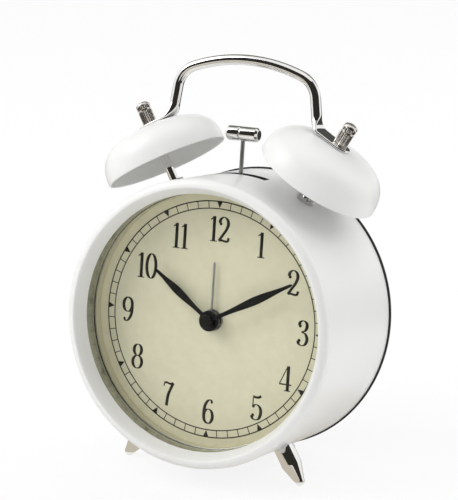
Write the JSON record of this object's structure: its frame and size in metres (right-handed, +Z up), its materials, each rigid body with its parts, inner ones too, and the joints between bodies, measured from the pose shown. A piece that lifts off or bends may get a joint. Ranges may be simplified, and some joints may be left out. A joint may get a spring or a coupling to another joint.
{
  "type": "twin-bell analog alarm clock",
  "caption": "Leaning twin-bell alarm clock: white steel drum on turned feet, domed glass over a cream dial, bells struck by a hammer, rod handle, quartz movement set by rear knobs.",
  "frame": {"origin": "on the floor under the middle of the bounding box", "axes": "+Z up, dial facing -Y and leaning back toward +Y, +X toward three o'clock"},
  "size_m": [0.0994, 0.0671, 0.1403],
  "materials": {
    "white_paint": "satin white paint on pressed steel",
    "chrome": "bright nickel-chrome plating",
    "steel": "plain zinc-plated steel",
    "brass": "bare brass",
    "copper": "enamelled copper winding",
    "glass": "clear domed glass",
    "ring_grey": "bright plated ring that mirrors the dial",
    "dial_cream": "printed matt cream",
    "hand_black": "satin black paint",
    "black_plastic": "fine-grained black moulding",
    "board_green": "lacquered circuit board",
    "cell": "plain wrapped cell"
  },
  "bodies": {
    "case": {"case_drum": "white_paint", "bezel": "white_paint", "glass_ring": "ring_grey", "crystal": "glass", "dial_spacer": "dial_cream", "dial": "dial_cream", "bell_left": "white_paint", "bell_right": "white_paint", "post_left": "chrome", "post_right": "chrome", "drum_nuts": "chrome", "post_lock_nuts": "steel", "thumb_nut_left": "chrome", "thumb_nut_right": "chrome", "handle": "chrome", "hammer_pin": "steel", "hammer_bracket": "steel", "magnet_core": "steel", "magnet_coil": "copper", "foot_left": "chrome", "foot_right": "chrome", "foot_lock_nuts": "steel", "movement_housing": "black_plastic", "movement_plate": "black_plastic", "centre_nut": "steel", "drive_motor": "steel", "circuit_board": "board_green", "quartz_can": "steel", "pillars": "brass", "back_cover": "black_plastic", "back_screws": "steel", "battery_cell": "cell", "contact_spring": "steel", "contact_plate": "steel"},
    "minute_works": {"minute_arbor": "brass", "minute_hand": "hand_black"},
    "hour_works": {"hour_wheel": "brass", "hour_hand": "hand_black"},
    "time_setter": {"set_arbor": "brass", "time_knob": "black_plastic"},
    "drive": {"drive_pinion": "brass"},
    "alarm_works": {"alarm_wheel": "brass", "alarm_hand": "steel"},
    "alarm_setter": {"alarm_arbor": "brass", "alarm_knob": "black_plastic"},
    "hammer": {"hammer_arm": "steel", "hammer_head": "chrome", "hammer_spring": "brass"},
    "switch": {"alarm_switch": "black_plastic"},
    "door": {"battery_door": "black_plastic"}
  },
  "joints": [
    {"name": "minute_turn", "type": "hinge", "parent": "case", "child": "minute_works", "pos_m": [0, -0.01257, 0.05383], "axis": [0, 0.9907, -0.1357], "continuous": true},
    {"name": "hour_turn", "type": "hinge", "parent": "case", "child": "hour_works", "pos_m": [0, -0.01257, 0.05383], "axis": [0, 0.9907, -0.1357], "continuous": true},
    {"name": "time_setting", "type": "hinge", "parent": "case", "child": "time_setter", "pos_m": [0.01, -0.01257, 0.05383], "axis": [0, 0.9907, -0.1357], "continuous": true},
    {"name": "drive_turn", "type": "hinge", "parent": "case", "child": "drive", "pos_m": [0, -0.01387, 0.04432], "axis": [0, 0.9907, -0.1357], "continuous": true},
    {"name": "alarm_setting", "type": "hinge", "parent": "case", "child": "alarm_setter", "pos_m": [-0.0108, -0.01257, 0.05383], "axis": [0, 0.9907, -0.1357], "continuous": true},
    {"name": "alarm_turn", "type": "hinge", "parent": "case", "child": "alarm_works", "pos_m": [0, -0.01257, 0.05383], "axis": [0, 0.9907, -0.1357], "continuous": true},
    {"name": "hammer_swing", "type": "hinge", "parent": "case", "child": "hammer", "pos_m": [0, 0.00495, 0.07565], "axis": [0, 0.9907, -0.1357], "range_deg": [-5.5, 5.5], "stiffness_Nm_per_rad": 0.03},
    {"name": "switch_slide", "type": "slide", "parent": "case", "child": "switch", "axis": [1, 0, 0], "range_m": [-0.0025, 0.0025]},
    {"name": "door_lift", "type": "slide", "parent": "case", "child": "door", "axis": [0, 0.9907, -0.1357], "range_m": [0, 0.02]}
  ],
  "couplings": [
    {"joint": "hour_turn", "follows": "minute_turn", "ratio": 0.083333},
    {"joint": "time_setting", "follows": "minute_turn", "ratio": -0.33333},
    {"joint": "drive_turn", "follows": "minute_turn", "ratio": -5},
    {"joint": "alarm_turn", "follows": "alarm_setting", "ratio": -0.33333}
  ]
}
